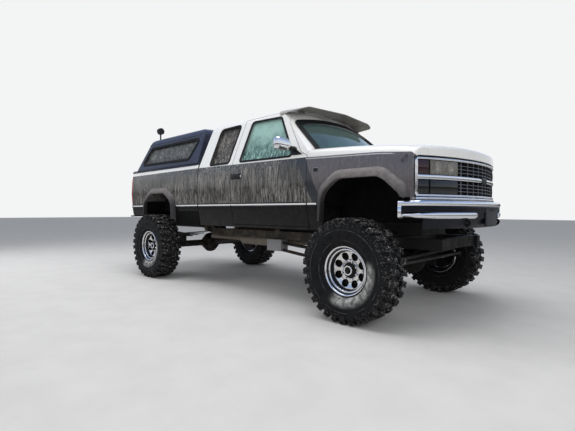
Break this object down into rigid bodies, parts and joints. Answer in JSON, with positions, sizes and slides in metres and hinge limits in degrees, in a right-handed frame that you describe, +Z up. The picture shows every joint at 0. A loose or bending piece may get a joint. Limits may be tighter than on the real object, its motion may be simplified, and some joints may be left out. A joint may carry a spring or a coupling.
{
  "type": "pickup truck",
  "caption": "Lifted four-wheel-drive pickup truck with extended cab, short bed, topper, big mud tyres and working steering, doors, hood, tailgate and hatch",
  "frame": {"origin": "on the ground, under the middle of the truck's bounding box", "axes": "+X forward, +Y to the truck's left, +Z up"},
  "size_m": [5.5898, 2.39, 2.389],
  "materials": {
    "white_paint": "white gloss paint, dusty",
    "visor_plastic": "grey-beige visor plastic",
    "charcoal_paint": "charcoal paint under dried foam and dust",
    "topper_paint": "dark blue-black paint, dusty",
    "frame_paint": "dusty dark frame paint",
    "black_trim": "matt black plastic",
    "chrome": "polished chrome",
    "lamp_clear": "clear lamp lens",
    "lamp_red": "red lamp lens",
    "glass": "tinted window glass",
    "dash_plastic": "dark dashboard plastic",
    "seat_cloth": "grey seat cloth",
    "steel": "dusty steel and iron",
    "tyre_rubber": "mud tyre rubber, dusty sidewalls",
    "wheel_metal": "polished wheel"
  },
  "bodies": {
    "chassis": {"frame": "frame_paint", "cab_shell": "white_paint", "cab_glass": "glass", "front_fenders": "charcoal_paint", "wheel_flares": "charcoal_paint", "engine_bay_panels": "black_trim", "grille": "chrome", "headlamps": "lamp_clear", "front_bumper": "chrome", "bumper_trim": "black_trim", "bed_box": "charcoal_paint", "tail_lamps": "lamp_red", "rear_bumper": "black_trim", "topper_shell": "topper_paint", "topper_glass": "glass", "roof_lamp": "black_trim", "sun_visor": "visor_plastic", "dashboard": "dash_plastic", "seats": "seat_cloth", "front_axle": "steel", "rear_axle": "steel", "suspension": "steel", "powertrain": "steel", "fuel_tank": "frame_paint", "exhaust": "steel"},
    "steering_wheel": {"steering_wheel": "dash_plastic"},
    "hood": {"hood": "white_paint"},
    "tailgate": {"tailgate": "charcoal_paint"},
    "hatch": {"topper_hatch": "topper_paint"},
    "door_left": {"door_left": "charcoal_paint", "door_left_glass": "glass", "mirror_left": "chrome"},
    "door_right": {"door_right": "charcoal_paint", "door_right_glass": "glass", "mirror_right": "chrome"},
    "knuckle_left": {"knuckle_left": "steel"},
    "knuckle_right": {"knuckle_right": "steel"},
    "tie_rod": {"tie_rod": "steel"},
    "drag_link": {"drag_link": "steel"},
    "pitman_arm": {"pitman_arm": "steel"},
    "wheel_front_left": {"tyre_front_left": "tyre_rubber", "rim_front_left": "wheel_metal"},
    "wheel_front_right": {"tyre_front_right": "tyre_rubber", "rim_front_right": "wheel_metal"},
    "wheel_rear_left": {"tyre_rear_left": "tyre_rubber", "rim_rear_left": "wheel_metal"},
    "wheel_rear_right": {"tyre_rear_right": "tyre_rubber", "rim_rear_right": "wheel_metal"}
  },
  "joints": [
    {"name": "steer_left", "type": "hinge", "parent": "chassis", "child": "knuckle_left", "pos_m": [1.905, 0.78, 0.475], "axis": [0, 0, 1], "range_deg": [-30, 30]},
    {"name": "steer_right", "type": "hinge", "parent": "chassis", "child": "knuckle_right", "pos_m": [1.905, -0.78, 0.475], "axis": [0, 0, 1], "range_deg": [-30, 30]},
    {"name": "pitman_turn", "type": "hinge", "parent": "chassis", "child": "pitman_arm", "pos_m": [2.045, 0.545, 0.624], "axis": [0, 0, 1], "range_deg": [-30, 30]},
    {"name": "tie_rod_swing", "type": "hinge", "parent": "knuckle_left", "child": "tie_rod", "pos_m": [2.205, 0.78, 0.5215], "axis": [0, 0, 1], "range_deg": [-30, 30]},
    {"name": "drag_link_swing", "type": "hinge", "parent": "pitman_arm", "child": "drag_link", "pos_m": [2.205, 0.545, 0.5915], "axis": [0, 0, 1], "range_deg": [-30, 30]},
    {"name": "steering_wheel_turn", "type": "hinge", "parent": "chassis", "child": "steering_wheel", "pos_m": [0.8811, 0.38, 1.4613], "axis": [-0.9724, 0, 0.2334], "range_deg": [-450, 450]},
    {"name": "wheel_front_left_spin", "type": "hinge", "parent": "knuckle_left", "child": "wheel_front_left", "pos_m": [1.905, 1, 0.475], "axis": [0, 1, 0], "continuous": true},
    {"name": "wheel_front_right_spin", "type": "hinge", "parent": "knuckle_right", "child": "wheel_front_right", "pos_m": [1.905, -1, 0.475], "axis": [0, 1, 0], "continuous": true},
    {"name": "wheel_rear_left_spin", "type": "hinge", "parent": "chassis", "child": "wheel_rear_left", "pos_m": [-1.689, 1, 0.475], "axis": [0, 1, 0], "continuous": true},
    {"name": "wheel_rear_right_spin", "type": "hinge", "parent": "chassis", "child": "wheel_rear_right", "pos_m": [-1.689, -1, 0.475], "axis": [0, 1, 0], "continuous": true},
    {"name": "door_right_swing", "type": "hinge", "parent": "chassis", "child": "door_right", "pos_m": [1.304, -0.965, 1.4], "axis": [0, 0, 1], "range_deg": [0, 65]},
    {"name": "door_left_swing", "type": "hinge", "parent": "chassis", "child": "door_left", "pos_m": [1.304, 0.965, 1.4], "axis": [0, 0, -1], "range_deg": [0, 65]},
    {"name": "hood_lift", "type": "hinge", "parent": "chassis", "child": "hood", "pos_m": [1.375, 0, 1.6325], "axis": [0, -1, 0], "range_deg": [0, 50]},
    {"name": "tailgate_drop", "type": "hinge", "parent": "chassis", "child": "tailgate", "pos_m": [-2.62, 0, 1.061], "axis": [0, -1, 0], "range_deg": [0, 90]},
    {"name": "hatch_lift", "type": "hinge", "parent": "chassis", "child": "hatch", "pos_m": [-2.25867, 0, 2.14], "axis": [0, 1, 0], "range_deg": [0, 70]}
  ],
  "couplings": [
    {"joint": "steer_right", "follows": "steer_left", "ratio": 1},
    {"joint": "pitman_turn", "follows": "steer_left", "ratio": 1},
    {"joint": "tie_rod_swing", "follows": "steer_left", "ratio": -1},
    {"joint": "drag_link_swing", "follows": "steer_left", "ratio": -1},
    {"joint": "steering_wheel_turn", "follows": "steer_left", "ratio": 15}
  ]
}
